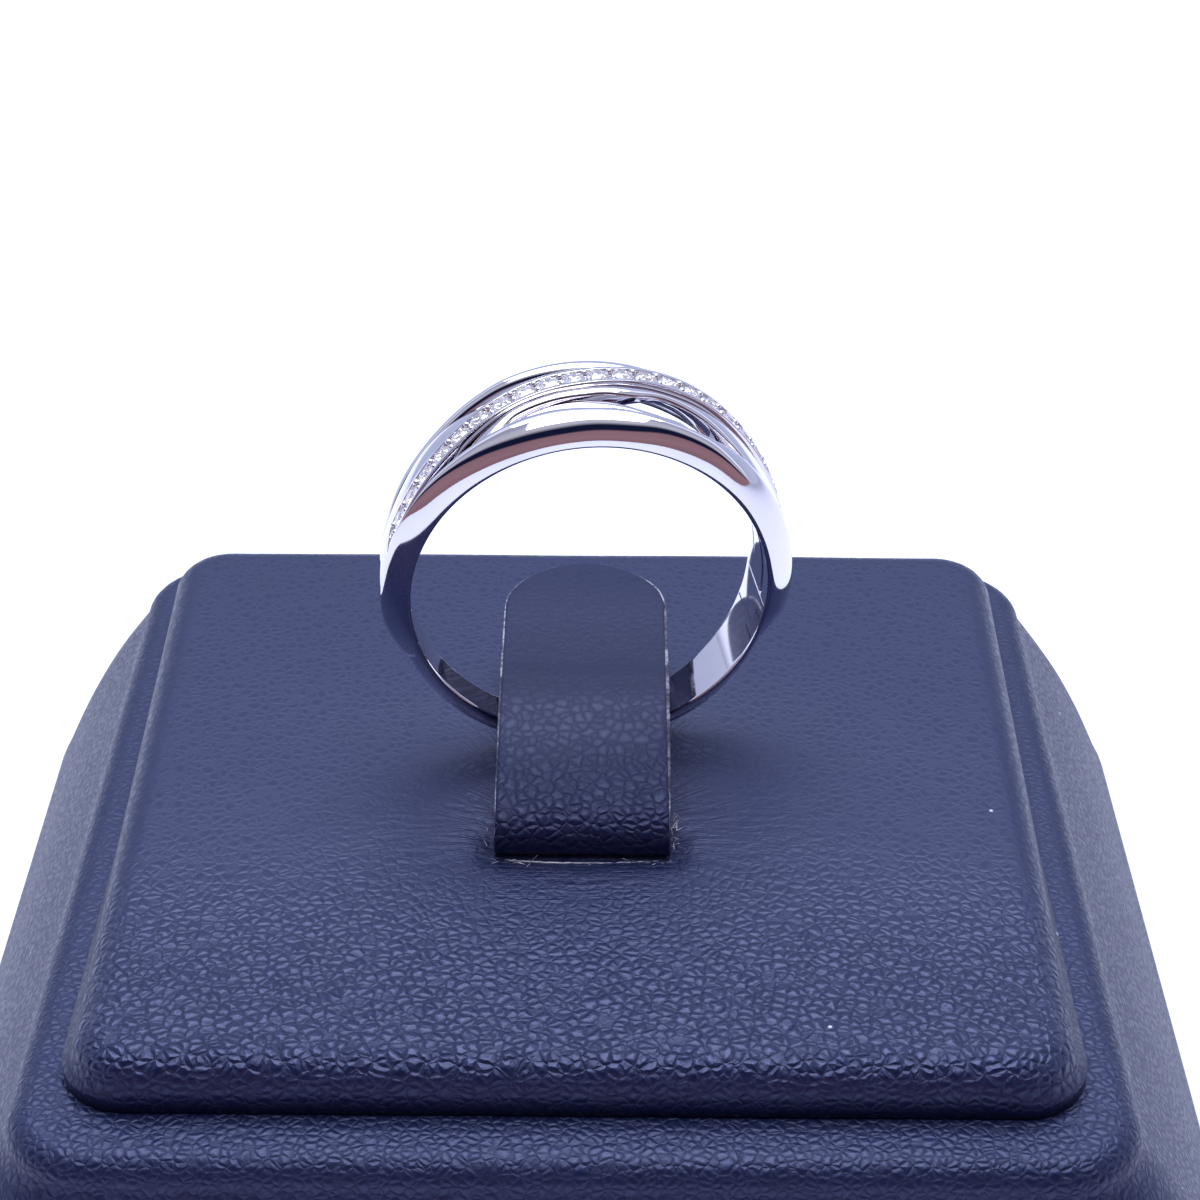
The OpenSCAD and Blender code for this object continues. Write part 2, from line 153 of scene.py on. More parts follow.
def curve(t, rows, c):
    """Smooth curve through column c of a table whose first column rises."""
    i = 0
    while i < len(rows) - 2 and t >= rows[i + 1][0]:
        i += 1

    def slope(k):
        p, q = rows[max(0, k - 1)], rows[min(len(rows) - 1, k + 1)]
        return (q[c] - p[c]) / (q[0] - p[0])

    p, q = rows[i], rows[i + 1]
    h = q[0] - p[0]
    u = (t - p[0]) / h
    return ((1 + 2 * u) * (1 - u) ** 2 * p[c] + u * u * (3 - 2 * u) * q[c]
            + h * u * (1 - u) ** 2 * slope(i) + h * u * u * (u - 1) * slope(i + 1))


def half_w(a):
    return HALF_MEAN + HALF_SWING * math.cos(math.radians(a - WIDEST_A))


def crown_r(a):
    return (FINGER_R + SIDE_T + (TOP_T - SIDE_T) * (1 - ease(abs(a), 0, SPLIT_A))
            + (SHANK_T - SIDE_T) * ease(abs(a), SPLIT_A, 180))


def ring_point(a, y, r):
    """A point at angle a of the ring, in metres, in the ring's own frame."""
    t = math.radians(a)
    return Vector((r * math.sin(t), y, r * math.cos(t))) * MM


PLACE = (Matrix.Translation(Vector((RING_X, RING_Y, RING_Z)) * MM)
         @ Matrix.Rotation(math.radians(RING_TURN), 4, "Z"))


def rounded(corners, steps=4):
    """Closed outline with arcs at its corners. Corners are (y, r, radius)."""
    out = []
    n = len(corners)
    for i, (y, r, radius) in enumerate(corners):
        here = Vector((y, r))
        before = Vector(corners[i - 1][:2]) - here
        after = Vector(corners[(i + 1) % n][:2]) - here
        if min(before.length, after.length) < 1e-6 or before.angle(after) > STRAIGHT:
            out += [(y, r)] * (steps + 1)
            continue
        half = before.angle(after) / 2
        cut = min(radius / math.tan(half), before.length * ARC_SHARE, after.length * ARC_SHARE)
        size = cut * math.tan(half)
        before.normalize()
        after.normalize()
        centre = here + (before + after).normalized() * (size / math.sin(half))
        start = here + before * cut
        end = here + after * cut
        a0 = math.atan2(start.y - centre.y, start.x - centre.x)
        a1 = math.atan2(end.y - centre.y, end.x - centre.x)
        turn = (a1 - a0 + math.pi) % (2 * math.pi) - math.pi
        for k in range(steps + 1):
            t = a0 + turn * k / steps
            out.append((centre.x + size * math.cos(t), centre.y + size * math.sin(t)))
    return out


def inner_edge(y0, y1, r0, e):
    """Inside of a section, from the front flank to the back flank, with eased edges."""
    turns = [math.radians(90 * k / EASE_STEPS) for k in range(EASE_STEPS + 1)]
    margin = (y1 - y0) * 0.03
    front = [(y0 + e - e * math.cos(t), r0 + e - e * math.sin(t)) for t in turns]
    middle = [(y0 + e + margin, r0), ((y0 + y1) / 2, r0), (y1 - e - margin, r0)]
    back = [(y1 - e + e * math.cos(t), r0 + e - e * math.sin(t)) for t in reversed(turns)]
    return front + middle + back


def plain_section(y0, y1, r0, r1, crown, lean=0.0, flat=0.0):
    """Section of a polished strand. Its crown can lean back and its front can be flat."""
    m, w = (y0 + y1) / 2, (y1 - y0) / 2
    h = min(crown, DOME_SHARE * (r1 - r0))
    out = inner_edge(y0, y1, r0, min(INNER_EASE, w / 2))
    for k in range(DOME_STEPS + 1):
        t = math.pi * k / DOME_STEPS
        c, s = math.cos(t), math.sin(t)
        if k < DOME_STEPS / 2:
            half, tall = w * (1 - lean), h - lean * (h - min(h, BACK_TALL))
        else:
            power = 1 + FLAT_POWER * flat
            half, tall = w * (1 + lean), h
            c, s = -abs(c) ** power, max(0.0, s) ** power
        out.append((m + lean * w + half * c, r1 - tall + tall * s))
    return out


def set_y(a):
    return half_w(a) * curve(a, DIAMOND_STRAND, 1)


def set_r(a):
    return crown_r(a) + PAVE_RISE * curve(a, DIAMOND_STRAND, 4)


def row_point(a):
    return ring_point(a, set_y(a), set_r(a) - GIRDLE_DROP) / MM


ROW_LENGTHS = [(row_point(a + 1) - row_point(a)).length for a in range(ROW_FROM, ROW_TO)]
ROW_PITCH = sum(ROW_LENGTHS) / (STONE_N - 1)
STONE_D = ROW_PITCH - STONE_GAP
RIM_W = (PAVE_W - STONE_D) / 2 + 0.04
BED_DEEP = 0.13
PIT_DEEP = 0.5


def stone_angles():
    out = []
    for i in range(STONE_N):
        left, a = i * ROW_PITCH, ROW_FROM
        while a < ROW_TO - 1 and left > ROW_LENGTHS[a - ROW_FROM]:
            left -= ROW_LENGTHS[a - ROW_FROM]
            a += 1
        out.append(a + left / ROW_LENGTHS[a - ROW_FROM])
    return out


STONE_ANGLES = stone_angles()


def set_section(a, w, r0, r1):
    """Section of the diamond-set strand: two rims, a bed and a round pit under each diamond."""
    y, h = set_y(a), w / 2
    e = min(INNER_EASE, h / 2)
    n = min(RIM_W, h / 2)
    b = min(0.05, n / 3)
    near = min(STONE_ANGLES, key=lambda s: abs(s - a))
    away = (row_point(a) - row_point(near)).length
    size = STONE_D / 2 - 0.03
    open_w = max(0.03, math.sqrt(max(0.0, size ** 2 - away ** 2)))
    open_w = min(open_w, h - n - 0.01)
    bed = r1 - min(BED_DEEP, (r1 - r0) * 0.3)
    floor = bed - min(PIT_DEEP, (r1 - r0) * 0.5) * open_w / size
    top = [(h, r1, b), (h - n, r1, b), (h - n, bed, 0.03), (open_w, bed, 0.015), (open_w * 0.45, floor, 0.02)]
    corners = [(-h, r0, e), (h, r0, e)] + top + [(-p, q, size) for p, q, size in reversed(top)]
    return [(y + p, q) for p, q in rounded(corners)]


def mesh_piece(name, points, faces, smooth=True):
    mesh = bpy.data.meshes.new(name)
    mesh.from_pydata(points, [], faces)
    mesh.update()
    if smooth:
        mesh.polygons.foreach_set("use_smooth", [True] * len(mesh.polygons))
    piece = bpy.data.objects.new(name, mesh)
    bpy.context.scene.collection.objects.link(piece)
    return piece


def side_faces(first, rings, n, turned=False):
    """Faces between neighbouring rings of n points each, counted from point number first."""
    out = []
    for i in range(rings - 1):
        for j in range(n):
            a, b = first + i * n + j, first + i * n + (j + 1) % n
            out.append((a, a + n, b + n, b) if turned else (a, b, b + n, a + n))
    return out


def swept(angles, sections):
    """Points and faces of a closed solid swept round the ring."""
    n = len(sections[0])
    points = [PLACE @ ring_point(a, y, r) for a, section in zip(angles, sections) for y, r in section]
    faces = side_faces(0, len(angles), n, turned=True)
    last = (len(angles) - 1) * n
    faces.append(tuple(range(n)))
    faces.append(tuple(last + j for j in reversed(range(n))))
    return points, faces


def even(start, end, step=1.25):
    n = round((end - start) / step)
    return [start + (end - start) * k / n for k in range(n + 1)]


def strand(rows, crown, lean=(0.0, 0.0), flat=0.0):
    """A polished strand. Its crown can lean back, and its front can be flat at the sides."""
    angles, sections = even(rows[0][0], rows[-1][0]), []
    for a in angles:
        front, back = half_w(a) * curve(a, rows, 1), half_w(a) * curve(a, rows, 2)
        inside = FINGER_R + BRIDGE_LIFT * curve(a, rows, 4)
        outside = crown_r(a) - UNDER_DROP * curve(a, rows, 3)
        leans = lean[0] + (lean[1] - lean[0]) * ease(abs(a), 15, 60)
        flats = flat * ease(abs(a), 35, 70)
        sections.append(plain_section(front, back, inside, outside, crown, leans, flats))
    return swept(angles, sections)


def shank():
    """The solid lower part of the band. Its front is flat near the strands and round below."""
    angles, sections = even(SPLIT_A, 360 - SPLIT_A), []
    for t in angles:
        a = t - 360 if t > 180 else t
        w = half_w(a) * (END_SHARE + (1 - END_SHARE) * ease(abs(a), SPLIT_A, MERGE_A))
        drop = UNDER_DROP * (1 - ease(abs(a), SPLIT_A, SPLIT_A + 8))
        fade = 1 - ease(abs(a), SPLIT_A, 150)
        sections.append(plain_section(-w, w, FINGER_R, crown_r(a) - drop, CROWN_H, 0.8 * fade, fade))
    return swept(angles, sections)


def set_strand():
    rows = DIAMOND_STRAND
    angles = even(rows[0][0], rows[-1][0], 0.4)
    return swept(angles, [
        set_section(a, PAVE_W * curve(a, rows, 2), FINGER_R + BRIDGE_LIFT * curve(a, rows, 3), set_r(a))
        for a in angles])


def joined(name, solids):
    points, faces = [], []
    for p, f in solids:
        k = len(points)
        points += p
        faces += [tuple(i + k for i in face) for face in f]
    return mesh_piece(name, points, faces)


# materials
def new_material(name):
    material = bpy.data.materials.new(name)
    material.use_nodes = True
    tree = material.node_tree
    return material, tree, tree.nodes["Principled BSDF"]


def link(tree, start, end):
    tree.links.new(start, end)


def number_node(tree, kind, a=None, b=None, c=None):
    node = tree.nodes.new("ShaderNodeMath")
    node.operation = kind
    for socket, value in zip(node.inputs, (a, b, c)):
        if value is None:
            continue
        if isinstance(value, (int, float)):
            socket.default_value = value
        else:
            link(tree, value, socket)
    return node.outputs[0]


def ramp(tree, source, stops):
    node = tree.nodes.new("ShaderNodeValToRGB")
    elements = node.color_ramp.elements
    while len(elements) < len(stops):
        elements.new(0.5)
    for element, (at, colour) in zip(elements, stops):
        element.position = at
        element.color = colour if len(colour) == 4 else (*colour, 1)
    link(tree, source, node.inputs[0])
    return node.outputs[0]


def mixed(tree, share, a, b):
    """Colour b over colour a by a share."""
    node = tree.nodes.new("ShaderNodeMix")
    node.data_type = "RGBA"
    for socket, value in ((node.inputs["Factor"], share), (node.inputs[6], a), (node.inputs[7], b)):
        if isinstance(value, bpy.types.NodeSocket):
            link(tree, value, socket)
        else:
            socket.default_value = value
    return node.outputs[2]


def noise_node(tree, vector, scale, detail=3, roughness=0.5):
    node = tree.nodes.new("ShaderNodeTexNoise")
    node.inputs["Scale"].default_value = scale
    node.inputs["Detail"].default_value = detail
    node.inputs["Roughness"].default_value = roughness
    link(tree, vector, node.inputs["Vector"])
    return node


def group_of(name, inputs, outputs):
    """A shader node group with named float inputs and outputs."""
    group = bpy.data.node_groups.new(name, "ShaderNodeTree")
    for label, kind, value in inputs:
        socket = group.interface.new_socket(name=label, in_out="INPUT", socket_type=kind)
        if value is not None:
            socket.default_value = value
    for label, kind in outputs:
        group.interface.new_socket(name=label, in_out="OUTPUT", socket_type=kind)
    return group, group.nodes.new("NodeGroupInput"), group.nodes.new("NodeGroupOutput")


def pebble_grain_group():
    """Leather grain: soft pebbles of two sizes with narrow valleys between them."""
    group, inside, out = group_of(
        "pebble grain",
        [("Vector", "NodeSocketVector", None), ("Pebble Scale", "NodeSocketFloat", 1900.0),
         ("Warp", "NodeSocketFloat", 0.00035)],
        [("Height", "NodeSocketFloat"), ("Valley", "NodeSocketFloat"), ("Tone", "NodeSocketFloat")])
    warp = noise_node(group, inside.outputs["Vector"], 1300, 2)
    centred = group.nodes.new("ShaderNodeVectorMath")
    centred.operation = "SUBTRACT"
    link(group, warp.outputs["Color"], centred.inputs[0])
    centred.inputs[1].default_value = (0.5, 0.5, 0.5)
    pushed = group.nodes.new("ShaderNodeVectorMath")
    pushed.operation = "SCALE"
    link(group, centred.outputs[0], pushed.inputs[0])
    link(group, inside.outputs["Warp"], pushed.inputs["Scale"])
    moved = group.nodes.new("ShaderNodeVectorMath")
    moved.operation = "ADD"
    link(group, inside.outputs["Vector"], moved.inputs[0])
    link(group, pushed.outputs[0], moved.inputs[1])
    cells = group.nodes.new("ShaderNodeTexVoronoi")
    cells.feature = "DISTANCE_TO_EDGE"
    link(group, moved.outputs[0], cells.inputs["Vector"])
    link(group, inside.outputs["Pebble Scale"], cells.inputs["Scale"])
    pebbles = group.nodes.new("ShaderNodeMapRange")
    pebbles.inputs["From Min"].default_value = 0.42
    pebbles.inputs["From Max"].default_value = 0.0
    link(group, cells.outputs["Distance"], pebbles.inputs["Value"])
    steep = number_node(group, "POWER", pebbles.outputs[0], 1.7)
    fine = noise_node(group, inside.outputs["Vector"], 4600, 3)
    broad = noise_node(group, inside.outputs["Vector"], 420, 3)
    domes = number_node(group, "SUBTRACT", 1.0, steep)
    with_fine = number_node(group, "MULTIPLY_ADD", fine.outputs["Fac"], 0.3, domes)
    height = number_node(group, "MULTIPLY_ADD", broad.outputs["Fac"], 0.5, with_fine)
    link(group, height, out.inputs["Height"])
    link(group, steep, out.inputs["Valley"])
    link(group, broad.outputs["Fac"], out.inputs["Tone"])
    return group


def drawn_creases_group():
    """Fine creases drawn in towards the ends of a slot. Its middle and half size are inputs, in metres."""
    group, inside, out = group_of(
        "drawn creases",
        [("Vector", "NodeSocketVector", None), ("Middle X", "NodeSocketFloat", 0.0),
         ("Middle Y", "NodeSocketFloat", 0.0), ("Half Width", "NodeSocketFloat", 0.004),
         ("Reach", "NodeSocketFloat", 0.006)],
        [("Height", "NodeSocketFloat")])
    split = group.nodes.new("ShaderNodeSeparateXYZ")
    link(group, inside.outputs["Vector"], split.inputs[0])
    from_x = number_node(group, "ABSOLUTE", number_node(
        group, "SUBTRACT", split.outputs[0], inside.outputs["Middle X"]))
    beside = number_node(group, "MAXIMUM", number_node(
        group, "SUBTRACT", from_x, inside.outputs["Half Width"]), 0.0)
    behind = number_node(group, "SUBTRACT", split.outputs[1], inside.outputs["Middle Y"])
    away = number_node(group, "ADD", beside, number_node(group, "ABSOLUTE", behind))
    near = number_node(group, "SUBTRACT", 1.0, number_node(group, "DIVIDE", away, inside.outputs["Reach"]))
    mask = number_node(group, "MAXIMUM", near, 0.0)
    fan = number_node(group, "DIVIDE", behind, number_node(group, "ADD", beside, 0.004))
    along = group.nodes.new("ShaderNodeCombineXYZ")
    link(group, number_node(group, "MULTIPLY", from_x, 330.0), along.inputs[0])
    link(group, number_node(group, "MULTIPLY", fan, 9.0), along.inputs[1])
    lines = noise_node(group, along.outputs[0], 1.6, 4, 0.6)
    link(group, number_node(group, "MULTIPLY", lines.outputs["Fac"], mask), out.inputs["Height"])
    return group


def polish_marks_group():
    """Fine hairlines and faint smears that a polished surface picks up."""
    group, inside, out = group_of(
        "polish marks",
        [("Vector", "NodeSocketVector", None), ("Hairline Scale", "NodeSocketFloat", 1200.0)],
        [("Height", "NodeSocketFloat"), ("Smear", "NodeSocketFloat")])
    stretch = group.nodes.new("ShaderNodeMapping")
    stretch.inputs["Scale"].default_value = (0.3, 6.0, 1.0)
    link(group, inside.outputs["Vector"], stretch.inputs["Vector"])
    lines = group.nodes.new("ShaderNodeTexNoise")
    lines.inputs["Detail"].default_value = 2
    link(group, stretch.outputs[0], lines.inputs["Vector"])
    link(group, inside.outputs["Hairline Scale"], lines.inputs["Scale"])
    link(group, lines.outputs["Fac"], out.inputs["Height"])
    smear = noise_node(group, inside.outputs["Vector"], 260, 3)
    link(group, smear.outputs["Fac"], out.inputs["Smear"])
    return group


def dust_group():
    """Sparse pale specks of dust."""
    group, inside, out = group_of(
        "dust",
        [("Vector", "NodeSocketVector", None), ("Speck Scale", "NodeSocketFloat", 450.0)],
        [("Specks", "NodeSocketFloat")])
    cells = group.nodes.new("ShaderNodeTexVoronoi")
    link(group, inside.outputs["Vector"], cells.inputs["Vector"])
    link(group, inside.outputs["Speck Scale"], cells.inputs["Scale"])
    near = number_node(group, "LESS_THAN", cells.outputs["Distance"], 0.045)
    split = group.nodes.new("ShaderNodeSeparateColor")
    link(group, cells.outputs["Color"], split.inputs[0])
    chosen = number_node(group, "GREATER_THAN", split.outputs[0], 0.90)
    link(group, number_node(group, "MULTIPLY", near, chosen), out.inputs["Specks"])
    return group


GRAIN = pebble_grain_group()
CREASES = drawn_creases_group()
MARKS = polish_marks_group()
DUST = dust_group()


def placed_group(tree, group, **values):
    node = tree.nodes.new("ShaderNodeGroup")
    node.node_tree = group
    for label, value in values.items():
        socket = node.inputs[label.replace("_", " ")]
        if isinstance(value, (int, float)):
            socket.default_value = value
        else:
            link(tree, value, socket)
    return node


def bump(tree, shader, height, strength, distance):
    node = tree.nodes.new("ShaderNodeBump")
    node.inputs["Strength"].default_value = strength
    node.inputs["Distance"].default_value = distance
    link(tree, height, node.inputs["Height"])
    link(tree, node.outputs[0], shader.inputs["Normal"])


SHEEN = (0.50, 0.56, 1.0, 1)
DUST_TONE = (0.62, 0.64, 0.7, 1)


def along_axis(tree, where, axis, start, end, low, high):
    """A value that goes smoothly from low to high between two places on an axis."""
    split = tree.nodes.new("ShaderNodeSeparateXYZ")
    link(tree, where, split.inputs[0])
    node = tree.nodes.new("ShaderNodeMapRange")
    node.interpolation_type = "SMOOTHSTEP"
    for label, value in (("From Min", start), ("From Max", end), ("To Min", low), ("To Max", high)):
        node.inputs[label].default_value = value
    link(tree, split.outputs[axis], node.inputs["Value"])
    return node.outputs[0]


def leather(name, body, light, pebble_scale, depth, rough, gloss, stretch, wall, creased=False):
    """Pebbled leather. Its grain is strong where stretch is 1 and smooth where it is near 0."""
    material, tree, shader = new_material(name)
    where = tree.nodes.new("ShaderNodeTexCoord").outputs["Object"]
    grain = placed_group(tree, GRAIN, Vector=where, Pebble_Scale=pebble_scale)
    dust = placed_group(tree, DUST, Vector=where)
    valley, specks = grain.outputs["Valley"], dust.outputs["Specks"]
    tone = mixed(tree, grain.outputs["Tone"], (*body, 1), (*light, 1))
    # Painted shade: the base colour is darkened to half in the valleys between the pebbles, where shade
    # falls.
    painted_valley_shade = (*(0.5 * c for c in body), 1)
    valleys = mixed(tree, number_node(tree, "MULTIPLY", valley, 0.25), tone, painted_valley_shade)
    dusted = mixed(tree, number_node(tree, "MULTIPLY", specks, 0.8), valleys, DUST_TONE)
    link(tree, dusted, shader.inputs["Base Color"])
    link(tree, number_node(tree, "MULTIPLY_ADD", valley, 0.2, rough), shader.inputs["Roughness"])
    shader.inputs["IOR"].default_value = 1.5
    shader.inputs["Specular IOR Level"].default_value = gloss
    shader.inputs["Specular Tint"].default_value = SHEEN
    pulled, upright = along_axis(tree, where, *stretch), along_axis(tree, where, *wall)
    strength = number_node(tree, "MULTIPLY", pulled, upright)
    height = number_node(tree, "MULTIPLY", grain.outputs["Height"], strength)
    if creased:
        drawn = placed_group(
            tree, CREASES, Vector=where, Middle_X=RING_X * MM, Half_Width=CLIP_W / 2 * MM,
            Middle_Y=(RING_Y - CLIP_LEAD + 1.5) * MM, Reach=0.011)
        height = number_node(tree, "MULTIPLY_ADD", drawn.outputs["Height"], 2.2, height)
    bump(tree, shader, height, 0.6, depth)
    return material


def raw_edge(name, tones):
    """Cut edge of the leather, with its pale backing showing in patches."""
    material, tree, shader = new_material(name)
    where = tree.nodes.new("ShaderNodeTexCoord").outputs["Object"]
    fibres = noise_node(tree, where, 3800, 5, 0.7)
    patches = noise_node(tree, where, 700, 3)
    share = number_node(tree, "MULTIPLY", fibres.outputs["Fac"], patches.outputs["Fac"])
    link(tree, ramp(tree, share, tones), shader.inputs["Base Color"])
    shader.inputs["Roughness"].default_value = 0.85
    bump(tree, shader, fibres.outputs["Fac"], 0.8, 0.00008)
    return material


def white_gold(name, rough):
    material, tree, shader = new_material(name)
    where = tree.nodes.new("ShaderNodeTexCoord").outputs["Object"]
    marks = placed_group(tree, MARKS, Vector=where)
    colour = ramp(tree, marks.outputs["Smear"], [(0.3, (0.70, 0.68, 0.74)), (0.7, (0.76, 0.74, 0.80))])
    link(tree, colour, shader.inputs["Base Color"])
    shader.inputs["Metallic"].default_value = 1.0
    roughness = number_node(tree, "MULTIPLY_ADD", marks.outputs["Smear"], 0.05, rough)
    link(tree, roughness, shader.inputs["Roughness"])
    bump(tree, shader, marks.outputs["Height"], 0.03, 0.00001)
    return material


def cut_stone(name):
    material, tree, shader = new_material(name)
    where = tree.nodes.new("ShaderNodeTexCoord").outputs["Object"]
    # Painted fire: noise tints the stones bluish and peach in spots, standing in for the coloured flashes of
    # light a cut diamond throws.
    painted_fire = noise_node(tree, where, 1500, 2)
    colour = ramp(tree, painted_fire.outputs["Fac"], [
        (0.35, (0.86, 0.90, 1.0)), (0.5, (1, 1, 1)), (0.65, (1.0, 0.93, 0.90))])
    link(tree, colour, shader.inputs["Base Color"])
    shader.inputs["Roughness"].default_value = 0.0
    shader.inputs["IOR"].default_value = 2.42
    shader.inputs["Transmission Weight"].default_value = 1.0
    # Painted glow: a faint lavender emission brightens the stones from within, though they are no lamp.
    shader.inputs["Emission Color"].default_value = (0.80, 0.80, 1.0, 1)
    shader.inputs["Emission Strength"].default_value = 0.09
    return material


NAVY = (0.0022, 0.0056, 0.034)
NAVY_LIGHT = (0.0038, 0.0085, 0.047)
CUSHION_LEATHER = leather("cushion leather", NAVY, NAVY_LIGHT, 1950, 0.00014, 0.30, 0.9,
                          (1, -0.017, -0.004, 1.0, 0.12), (2, 0.0122, 0.0139, 0.3, 1.0), creased=True)
BASE_LEATHER = leather("base leather", NAVY, NAVY_LIGHT, 2300, 0.00010, 0.36, 0.85,
                       (1, -0.028, 0.0, 0.8, 0.3), (2, 0.0095, 0.0113, 0.5, 1.0))
CLIP_LEATHER = leather("clip leather", (0.0026, 0.0058, 0.032), (0.0044, 0.0085, 0.044),
                       1900, 0.00011, 0.34, 0.55,
                       (1, -0.005, 0.000, 1.0, 0.12), (2, 0.0140, 0.0150, 0.5, 1.0))
RAW_EDGE = raw_edge("cut leather edge", [(0.14, (0.016, 0.018, 0.045)), (0.24, (0.11, 0.11, 0.18)),
                                         (0.34, (0.45, 0.45, 0.56))])
FIBRE = raw_edge("pale backing fibre", [(0.15, (0.10, 0.10, 0.17)), (0.25, (0.40, 0.40, 0.50)),
                                        (0.40, (0.78, 0.78, 0.86))])
GOLD = white_gold("polished white gold", 0.03)
BRIGHT_CUT = white_gold("bright-cut white gold", 0.26)
DIAMOND = cut_stone("cut diamond")


def dress(piece, slot, *materials):
    piece.data.materials.clear()
    for material in materials:
        piece.data.materials.append(material)
    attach(piece, "root")


# the ring
band = joined("ring_band_polished", [
    shank(), strand(FRONT_RAIL, CROWN_H, lean=(0.5, 0.8), flat=1.0), strand(BACK_RAIL, SOFT_CROWN_H),
    strand(PLAIN_STRAND, LOW_CROWN_H), strand(SHOULDER, SOFT_CROWN_H),
    strand(UNDER_STRAND, SOFT_CROWN_H), set_strand()])
dress(band, "white_gold", GOLD)
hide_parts("ring_band")

for name, node in nodes.items():
    if name.startswith("diamond_"):
        node.data.materials.clear()
        node.data.materials.append(DIAMOND)


def bead(points, faces, place, radius, rows=10, sides=10):
    """A small ball of metal."""
    k = len(points)
    points.append(place @ Vector((0, 0, radius)))
    for i in range(1, rows):
        t = math.pi * i / rows
        out = radius * math.sin(t)
        for j in range(sides):
            u = 2 * math.pi * j / sides
            points.append(place @ Vector((out * math.cos(u), out * math.sin(u), radius * math.cos(t))))
    points.append(place @ Vector((0, 0, -radius)))
    last = len(points) - 1
    for j in range(sides):
        faces.append((k, k + 1 + j, k + 1 + (j + 1) % sides))
    faces += side_faces(k + 1, rows - 1, sides, turned=True)
    for j in range(sides):
        faces.append((last, last - sides + (j + 1) % sides, last - sides + j))


def bead_row():
    """Beads raised between the diamonds, a pair in each gap and a pair at each end."""
    points, faces = [], []
    gaps = [(a + b) / 2 for a, b in zip(STONE_ANGLES, STONE_ANGLES[1:])]
    gaps = [2 * STONE_ANGLES[0] - gaps[0]] + gaps + [2 * STONE_ANGLES[-1] - gaps[-1]]
    for a in gaps:
        ahead = row_point(a + 1) - row_point(a - 1)
        lean = math.degrees(math.atan2(set_y(a + 1) - set_y(a - 1), ahead.length))
        turn = PLACE @ Matrix.Translation(ring_point(a, set_y(a), set_r(a) - GIRDLE_DROP)) \
            @ Matrix.Rotation(math.radians(a), 4, "Y") @ Matrix.Rotation(math.radians(lean), 4, "Z")
        for side in (-1, 1):
            shift = Vector((random.uniform(-0.03, 0.03), side * random.uniform(0.33, 0.38), 0.03))
            bead(points, faces, turn @ Matrix.Translation(shift * MM), random.uniform(0.15, 0.18) * MM)
    return points, faces


beads = joined("setting_beads", [bead_row()])
dress(beads, "white_gold", BRIGHT_CUT)


# the stand
def rounded_outline(w, d, r, per_side=56, per_corner=14):
    """Points round a rectangle with round corners, counter-clockwise from above."""
    out = []
    x, y = w / 2 - r, d / 2 - r
    corners = [(x, -y, -90), (x, y, 0), (-x, y, 90), (-x, -y, 180)]
    for i, (cx, cy, start) in enumerate(corners):
        for k in range(per_corner + 1):
            t = math.radians(start + 90 * k / per_corner)
            out.append((cx + r * math.cos(t), cy + r * math.sin(t)))
        nx, ny, _ = corners[(i + 1) % 4]
        t = math.radians(start + 90)
        sx, sy = cx + r * math.cos(t), cy + r * math.sin(t)
        ex, ey = nx + r * math.cos(t), ny + r * math.sin(t)
        for k in range(1, per_side):
            out.append((sx + (ex - sx) * k / per_side, sy + (ey - sy) * k / per_side))
    return out


def slab(name, profile, top_rings, top_z):
    """A soft slab from rings of (w, d, r, z), closed by rings that shrink to its middle."""
    rings = [[(x, y, z) for x, y in rounded_outline(w, d, r)] for w, d, r, z in profile]
    last = rings[-1]
    for k in range(1, top_rings):
        s = 1 - k / top_rings
        rings.append([(x * s, y * s, z) for x, y, z in last])
    n = len(last)
    points = [Vector((0, 0, profile[0][3]))]
    for ring in rings:
        points += [Vector(p) for p in ring]
    points.append(Vector((0, 0, last[0][2])))
    faces = [(0, 1 + (j + 1) % n, 1 + j) for j in range(n)]
    faces += side_faces(1, len(rings), n)
    end, base = len(points) - 1, 1 + (len(rings) - 1) * n
    faces += [(base + j, base + (j + 1) % n, end) for j in range(n)]
    points = [top_z(p) * MM for p in points]
    return mesh_piece(name, points, faces)


CLIP_FRONT = RING_Y - CLIP_LEAD


def away_from_slot(p):
    """Distance from the slot that the clip comes out of."""
    dx = max(0.0, abs(p.x - RING_X) - CLIP_W / 2)
    dy = max(0.0, CLIP_FRONT - p.y, p.y - (CLIP_FRONT + CLIP_T))
    return math.hypot(dx, dy)


def cushion_shape(p):
    """Padded top: slightly crowned, drawn in round the slot and pressed down under the ring."""
    if p.z < BASE_H + 1:
        return p
    rise = ease(p.z, BASE_H + 1, STAND_H)
    u, v = p.x / (CUSHION_W / 2), (p.y - CUSHION_BACK) / (CUSHION_D / 2)
    crown = 0.16 * (1 - u * u) * (1 - v * v)
    broad = 0.07 * noise.noise(Vector((p.x * 0.11, p.y * 0.11, 3.0)))
    slot = away_from_slot(p)
    drawn = -0.30 * math.exp(-(slot / 0.9) ** 2)
    folds = 0.05 * math.exp(-(slot / 3.5) ** 2) * noise.noise(
        Vector((p.x * 0.55, p.y * 2.4, 8.0))) * ease(slot, 0.3, 1.2)
    under_ring = -0.32 * math.exp(-((p.x - RING_X) / 7) ** 2 - ((p.y - RING_Y) / 3) ** 2)
    wider = 1 + 0.018 * v
    return Vector((p.x * wider, p.y, p.z - 0.05 + rise * (crown + broad + drawn + folds + under_ring)))


def soft_profile(w, d, r, z0, z1, edge, steps=8):
    out = []
    for k in range(steps + 1):
        t = math.radians(90 * k / steps)
        inset = edge * (1 - math.cos(t))
        out.append((w - 2 * inset, d - 2 * inset, max(0.3, r - inset), z1 - edge + edge * math.sin(t)))
    return [(w, d, r, z0), (w, d, r, z0 + (z1 - edge - z0) * 0.5)] + out


